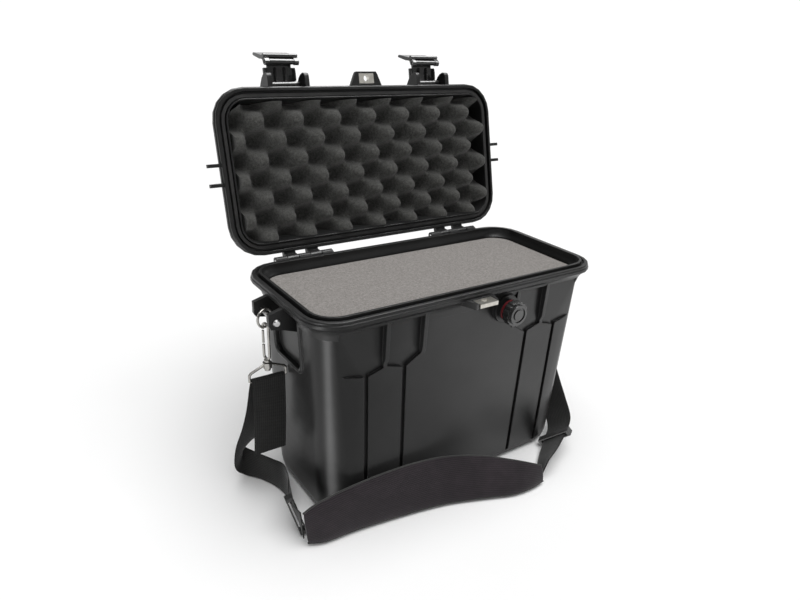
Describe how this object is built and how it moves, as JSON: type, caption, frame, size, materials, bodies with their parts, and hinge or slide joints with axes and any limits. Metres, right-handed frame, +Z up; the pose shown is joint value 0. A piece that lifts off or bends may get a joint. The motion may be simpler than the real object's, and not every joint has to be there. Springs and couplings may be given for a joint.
{
  "type": "hard equipment case",
  "caption": "Deep hard equipment case with hinged lid, over-centre latches, purge valve, foam lining and a padded shoulder strap",
  "frame": {"origin": "centre of the flat underside of the case", "axes": "+X the case's right seen from the latch side, -Y the latch side, +Z up"},
  "size_m": [0.4663, 0.3628, 0.4838],
  "materials": {
    "case_shell": "satin moulded polypropylene with a fine grain",
    "case_foam": "open-cell foam, finely porous",
    "lid_foam": "open-cell foam, convoluted",
    "seal_rubber": "smooth",
    "grip_rubber": "matt over-moulding",
    "padlock_plate": "brushed",
    "steel_pin": "drawn wire",
    "valve_plastic": "gloss",
    "valve_ring": "gloss red",
    "latch_plastic": "semi-gloss",
    "strap_metal": "bright plated, lightly worn",
    "webbing": "ribbed woven nylon",
    "slider_plastic": "satin",
    "pad_fabric": "woven mesh over padding, bound edge"
  },
  "bodies": {
    "case_base": {"base_shell": "case_shell", "foam_floor_pad": "case_foam", "foam_lower_block": "case_foam", "foam_upper_block": "case_foam", "base_padlock_plate": "padlock_plate", "hinge_pin_left": "steel_pin", "hinge_pin_right": "steel_pin", "valve_body": "valve_plastic", "valve_ring": "valve_ring", "bracket_pin_left": "steel_pin", "bracket_pin_right": "steel_pin", "webbing_loop_left": "strap_metal", "webbing_loop_right": "strap_metal", "webbing_left": "webbing", "webbing_right": "webbing", "slider_left": "slider_plastic", "slider_right": "slider_plastic", "shoulder_pad": "pad_fabric"},
    "lid": {"lid_shell": "case_shell", "lid_foam": "lid_foam", "lid_seal": "seal_rubber", "lid_padlock_plate": "padlock_plate", "latch_pin_left": "steel_pin", "latch_pin_right": "steel_pin", "handle_pin_left": "steel_pin", "handle_pin_right": "steel_pin"},
    "handle": {"handle_frame": "case_shell", "handle_grip": "grip_rubber"},
    "valve": {"valve_knob": "valve_plastic"},
    "latch_arm_left": {"latch_arm_left": "latch_plastic", "lever_pin_left": "steel_pin"},
    "latch_lever_left": {"latch_lever_left": "latch_plastic"},
    "ring_left": {"strap_ring_left": "strap_metal"},
    "hook_left": {"snap_hook_left": "strap_metal"},
    "gate_left": {"snap_gate_left": "strap_metal"},
    "latch_arm_right": {"latch_arm_right": "latch_plastic", "lever_pin_right": "steel_pin"},
    "latch_lever_right": {"latch_lever_right": "latch_plastic"},
    "ring_right": {"strap_ring_right": "strap_metal"},
    "hook_right": {"snap_hook_right": "strap_metal"},
    "gate_right": {"snap_gate_right": "strap_metal"}
  },
  "joints": [
    {"name": "lid_hinge", "type": "hinge", "parent": "case_base", "child": "lid", "pos_m": [0, 0.1036, 0.2566], "axis": [1, 0, 0], "range_deg": [0, 102.7]},
    {"name": "handle_hinge", "type": "hinge", "parent": "lid", "child": "handle", "pos_m": [0, 0.19004, 0.36177], "axis": [1, 0, 0], "range_deg": [-12.5, 85]},
    {"name": "valve_turn", "type": "hinge", "parent": "case_base", "child": "valve", "pos_m": [0.048, -0.1, 0.227], "axis": [0, -1, 0], "range_deg": [0, 270]},
    {"name": "latch_arm_hinge_left", "type": "hinge", "parent": "lid", "child": "latch_arm_left", "pos_m": [-0.1035, 0.16804, 0.44976], "axis": [1, 0, 0], "range_deg": [-20, 88]},
    {"name": "latch_lever_hinge_left", "type": "hinge", "parent": "latch_arm_left", "child": "latch_lever_left", "pos_m": [-0.1035, 0.17415, 0.47507], "axis": [1, 0, 0], "range_deg": [-10, 53]},
    {"name": "ring_swing_left", "type": "hinge", "parent": "case_base", "child": "ring_left", "pos_m": [-0.206, 0.008, 0.239], "axis": [0, 1, 0], "range_deg": [-6, 6]},
    {"name": "hook_swivel_left", "type": "hinge", "parent": "case_base", "child": "hook_left", "pos_m": [-0.206, 0.008, 0.2], "axis": [0, 0, 1], "range_deg": [-12, 12]},
    {"name": "gate_hinge_left", "type": "hinge", "parent": "hook_left", "child": "gate_left", "pos_m": [-0.20744, 0.01195, 0.2026], "axis": [0.9397, 0.342, 0], "range_deg": [0, 15], "stiffness_Nm_per_rad": 0.02, "springref_deg": -5.73},
    {"name": "latch_arm_hinge_right", "type": "hinge", "parent": "lid", "child": "latch_arm_right", "pos_m": [0.1035, 0.16804, 0.44976], "axis": [1, 0, 0], "range_deg": [-20, 88]},
    {"name": "latch_lever_hinge_right", "type": "hinge", "parent": "latch_arm_right", "child": "latch_lever_right", "pos_m": [0.1035, 0.17415, 0.47507], "axis": [1, 0, 0], "range_deg": [-10, 53]},
    {"name": "ring_swing_right", "type": "hinge", "parent": "case_base", "child": "ring_right", "pos_m": [0.206, 0.008, 0.239], "axis": [0, 1, 0], "range_deg": [-6, 6]},
    {"name": "hook_swivel_right", "type": "hinge", "parent": "case_base", "child": "hook_right", "pos_m": [0.206, 0.008, 0.2], "axis": [0, 0, 1], "range_deg": [-12, 12]},
    {"name": "gate_hinge_right", "type": "hinge", "parent": "hook_right", "child": "gate_right", "pos_m": [0.20744, 0.01195, 0.2026], "axis": [0.9397, -0.342, 0], "range_deg": [0, 15], "stiffness_Nm_per_rad": 0.02, "springref_deg": -5.73}
  ]
}
